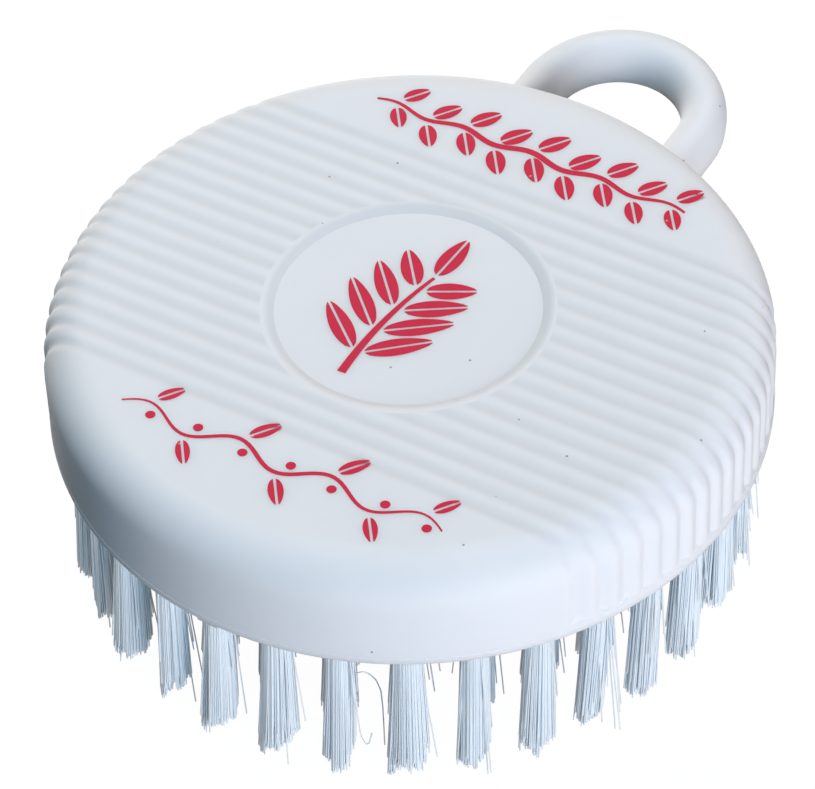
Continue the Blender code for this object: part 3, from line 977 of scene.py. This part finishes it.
def add_leaf(bm, start, direction, length, width, gap, levels):
    """A leaf of two halves with a bare vein between them, pointed and fullest before its middle."""
    skew, fullness, tip = 0.85, 0.75, gap / 4
    swell = [sin(pi * share**skew) ** fullness for share in ink_shares()]
    halves = [tip + (width / 2 - tip) * part for part in swell]
    spine = curve_points(start, start + direction * length, 0)
    for side in (-1, 1):
        across = Vector((-direction.y, direction.x)) * side
        centres = [point + across * (gap / 2 + half / 2) for point, half in zip(spine, halves)]
        add_stroke(bm, centres, halves, levels)


def sprig_mesh(length, levels):
    """A sprig with a curved stem, pairs of leaves that shorten upwards, and an end leaf."""
    bm = bmesh.new()
    foot = Vector((-0.06, -0.50)) * length
    head = Vector((0.01, 0.22)) * length
    stem_width, taper = 0.042 * length, 0.6
    stalk, leaf_width, vein = 0.045, 0.092 * length, 0.012 * length
    end_stalk, end_length, end_width = 0.025, 0.26 * length, 0.095 * length
    lean = radians(50)
    stem = curve_points(foot, head, bulge=0.04)
    widths = [stem_width * (1 - taper * i / INK_STEPS) for i in range(INK_STEPS + 1)]
    add_stroke(bm, stem, widths, levels)
    for share, leaf_share in SPRIG_LEAVES:
        along = share * INK_STEPS
        low = int(along)
        spot = stem[low].lerp(stem[low + 1], along - low)
        upward = (stem[low + 1] - stem[low]).normalized()
        for side in (-1, 1):
            direction = Vector(polar(1, atan2(upward.y, upward.x) + side * lean))
            start = spot + direction * stalk * length
            add_leaf(bm, start, direction, leaf_share * length, leaf_width, vein, levels)
    top = Vector((0.06, 1)).normalized()
    add_leaf(bm, head + top * end_stalk * length, top, end_length, end_width, vein, levels)
    return bm


def garland_mesh(settings, levels, side, waves, with_berries, shares):
    """A wavy stem with pairs of leaves, or with a leaf and a berry in turn on each side."""
    bm = bmesh.new()
    length = settings.garland_length
    sway, stem_width, leaf_length, leaf_width = [share * length for share in shares]
    stalk, berry_stalk, berry_radius, vein = 0.027, 0.050, 0.014 * length, 0.007 * length
    stem_swell, leaf_swell, lean = 0.6, 0.22, radians(54)
    middle = Vector((0, side * settings.garland_place))
    stem, widths = [], []
    for i in range(GARLAND_STEPS + 1):
        rise = sway * sin(tau * waves * i / GARLAND_STEPS)
        stem.append(middle + Vector(((i / GARLAND_STEPS - 1 / 2) * length, rise)))
        widths.append(stem_width * (1 - stem_swell + stem_swell * sin(pi * i / GARLAND_STEPS)))
    add_stroke(bm, stem, widths, levels)
    nodes = int(2 * waves)
    for k in range(nodes):
        share = (k + 1 / 2) / nodes
        spot = stem[round(share * GARLAND_STEPS)]
        ease = 1 - leaf_swell + leaf_swell * sin(pi * share)
        for way in (-1, 1):
            direction = Vector(polar(1, way * lean))
            if with_berries and way == (-1) ** (k + 1):
                berry = spot + direction * berry_stalk * length
                add_capped_rings(bm, [circle_points(berry_radius, z, 2 * INK_STEPS, berry) for z in levels])
            else:
                start = spot + direction * stalk * length
                add_leaf(bm, start, direction, leaf_length * ease, leaf_width * ease, vein, levels)
    return bm


class BRUSH_OT_print(bpy.types.Operator):
    """Print a leaf sprig in the medallion and a garland on each plain end of the top"""

    bl_idname = "brush.print"
    bl_label = "Printed Ornaments"

    def execute(self, context):
        settings = context.scene.brush_print
        ink = printing_ink(settings)
        floor_z = TOP_Z - context.scene.brush_medallion.depth
        floor, top = [(z - settings.ink_thickness, z + settings.ink_thickness) for z in (floor_z, TOP_Z)]
        meshes = {"printed_sprig": sprig_mesh(settings.sprig_length, floor)}
        for name, form in GARLANDS.items():
            meshes[name] = garland_mesh(settings, top, *form)
        for name, bm in meshes.items():
            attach(mesh_object(name, bm, ink), BODY)
        return {"FINISHED"}


def show_by_ray(tree, lighting, viewing, surface):
    """One shader for the rays that light the object, and one for camera, glossy and transmission rays."""
    path = tree.nodes.new("ShaderNodeLightPath").outputs
    views = path["Is Camera Ray"]
    for kind in ("Is Glossy Ray", "Is Transmission Ray"):
        views = arithmetic("MAXIMUM", views, path[kind])
    choice = add_node(tree, "ShaderNodeMixShader", {0: views, 1: lighting, 2: viewing})
    tree.links.new(choice.outputs[0], surface)


def studio_paper():
    """Matt sheet that camera, glossy and transmission rays see nearly white, and that keeps shadows."""
    material = bpy.data.materials.new("studio_paper")
    material.use_nodes = True
    tree = material.node_tree
    tree.nodes.clear()
    output = tree.nodes.new("ShaderNodeOutputMaterial")
    matt = add_node(tree, "ShaderNodeBsdfDiffuse", {"Color": PAPER_COLOUR}).outputs[0]
    glow = add_node(tree, "ShaderNodeEmission", {"Color": WHITE, "Strength": STAGE_GLOW}).outputs[0]
    both = add_node(tree, "ShaderNodeAddShader", {0: matt, 1: glow}).outputs[0]
    show_by_ray(tree, matt, both, output.inputs["Surface"])
    return material


def studio_world():
    """A world that gives hardly any light, and that looks as pale as the floor."""
    world = bpy.data.worlds.new("studio_world")
    world.use_nodes = True
    tree = world.node_tree
    faint = tree.nodes["Background"]
    feed(faint.inputs["Color"], WORLD_COLOUR)
    feed(faint.inputs["Strength"], WORLD_STRENGTH)
    pale = add_node(tree, "ShaderNodeBackground", {"Color": WHITE, "Strength": STAGE_GLOW})
    show_by_ray(tree, faint.outputs[0], pale.outputs[0], tree.nodes["World Output"].inputs["Surface"])
    return world


def add_camera(settings):
    """Camera at the photograph's angle, aimed at the rim's centre with a small offset and roll."""
    heading = settings.camera_heading
    level, rise = polar(1, settings.camera_elevation)
    back = Vector((level * sin(heading), -level * cos(heading), rise))
    right = Matrix.Rotation(settings.camera_roll, 3, back) @ Vector((*polar(1, heading), 0))
    up = back.cross(right)
    aim = Vector((0, 0, RIM_Z)) + settings.aim_right * right + settings.aim_up * up
    data = bpy.data.cameras.new("camera")
    data.lens = settings.lens
    data.sensor_width = SENSOR_WIDTH
    data.sensor_fit = "HORIZONTAL"
    data.clip_start = CLIP_START
    data.clip_end = CLIP_END
    camera = new_object("camera", data)
    turned = Matrix((right, up, back)).transposed().to_4x4()
    camera.matrix_world = Matrix.Translation(aim + back * settings.camera_distance) @ turned
    bpy.context.scene.camera = camera


def add_light(name, heading, elevation, power, colour):
    """A square soft light aimed at the brush, placed by heading from +X and by elevation."""
    direction = Vector((*polar(cos(elevation), heading), sin(elevation)))
    data = bpy.data.lights.new(name, "AREA")
    data.shape = "SQUARE"
    data.size = LIGHT_SIZE
    data.energy = power
    data.color = colour
    light = new_object(name, data)
    light.location = Vector((0, 0, RIM_Z)) + direction * LIGHT_DISTANCE
    light.rotation_euler = direction.to_track_quat("Z", "Y").to_euler()


class BRUSH_OT_stage(bpy.types.Operator):
    """Set up the floor, the soft lights and the camera"""

    bl_idname = "brush.stage"
    bl_label = "Studio Stage"

    def execute(self, context):
        settings = context.scene.brush_stage
        bm = bmesh.new()
        bmesh.ops.create_grid(bm, x_segments=1, y_segments=1, size=FLOOR_HALF_WIDTH)
        floor = mesh_object("studio_floor", bm, studio_paper())
        for name, turn, elevation, power, colour in LIGHTS:
            heading = settings.camera_heading + radians(turn)
            add_light(name, heading, radians(elevation), power, colour)
        context.scene.world = studio_world()
        context.scene.view_settings.view_transform = "Standard"
        add_camera(settings)
        return {"FINISHED"}


class BRUSH_PT_panel(bpy.types.Panel):
    """Lists the operators and settings of the brush"""

    bl_idname = "BRUSH_PT_panel"
    bl_label = "Mushroom Brush"
    bl_space_type = "VIEW_3D"
    bl_region_type = "UI"
    bl_category = "Brush"

    def draw(self, context):
        for operator in OPERATORS:
            self.layout.operator(operator.bl_idname)
        for name in SETTINGS:
            box = self.layout.box()
            group = getattr(context.scene, name)
            for key in group.__annotations__:
                box.prop(group, key)


SETTINGS = {
    "brush_block": BlockSettings,
    "brush_medallion": MedallionSettings,
    "brush_loop": LoopSettings,
    "brush_tufts": TuftSettings,
    "brush_print": PrintSettings,
    "brush_stage": StageSettings,
}
OPERATORS = (BRUSH_OT_block, BRUSH_OT_tufts, BRUSH_OT_print, BRUSH_OT_stage)
CLASSES = (*SETTINGS.values(), *OPERATORS, BRUSH_PT_panel)


def register():
    for item in CLASSES:
        bpy.utils.register_class(item)
    for name, group in SETTINGS.items():
        setattr(bpy.types.Scene, name, PointerProperty(type=group))


def unregister():
    for name in SETTINGS:
        delattr(bpy.types.Scene, name)
    for item in reversed(CLASSES):
        bpy.utils.unregister_class(item)


def main():
    """Build every piece and the stage."""
    register()
    bpy.ops.brush.block()
    bpy.ops.brush.tufts()
    bpy.ops.brush.print()
    bpy.ops.brush.stage()


if __name__ == "__main__":
    main()
